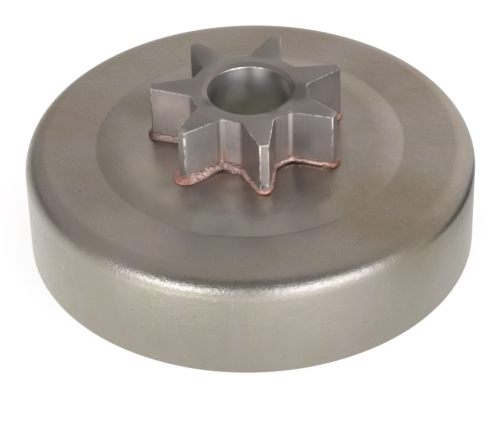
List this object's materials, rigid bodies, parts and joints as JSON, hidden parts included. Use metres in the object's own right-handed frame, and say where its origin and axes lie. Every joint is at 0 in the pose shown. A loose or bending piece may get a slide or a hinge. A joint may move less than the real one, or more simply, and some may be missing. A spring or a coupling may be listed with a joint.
{
  "type": "chainsaw clutch drum with spur sprocket",
  "caption": "Round pressed-steel clutch drum, open below, with a star-shaped spur sprocket brazed to its closed face around a through bore.",
  "frame": {"origin": "centre of the plane of the drum's open rim, on the axis", "axes": "+Z along the axis, from the open rim to the sprocket; one tooth points along -Y, and +Y runs through the gullet opposite it and the notch in the rim"},
  "size_m": [0.083, 0.083, 0.0321],
  "materials": {
    "drum_steel": "satin steel with faint brown, olive and grey heat tints from the furnace",
    "sprocket_steel": "grey hardened steel, ground on top, with fine upright tool lines on the tooth flanks",
    "copper": "grainy copper braze, pink on top and red-brown at its foot"
  },
  "bodies": {
    "root": {"clutch_drum": "drum_steel", "spur_sprocket": "sprocket_steel", "copper_braze": "copper"}
  },
  "joints": []
}
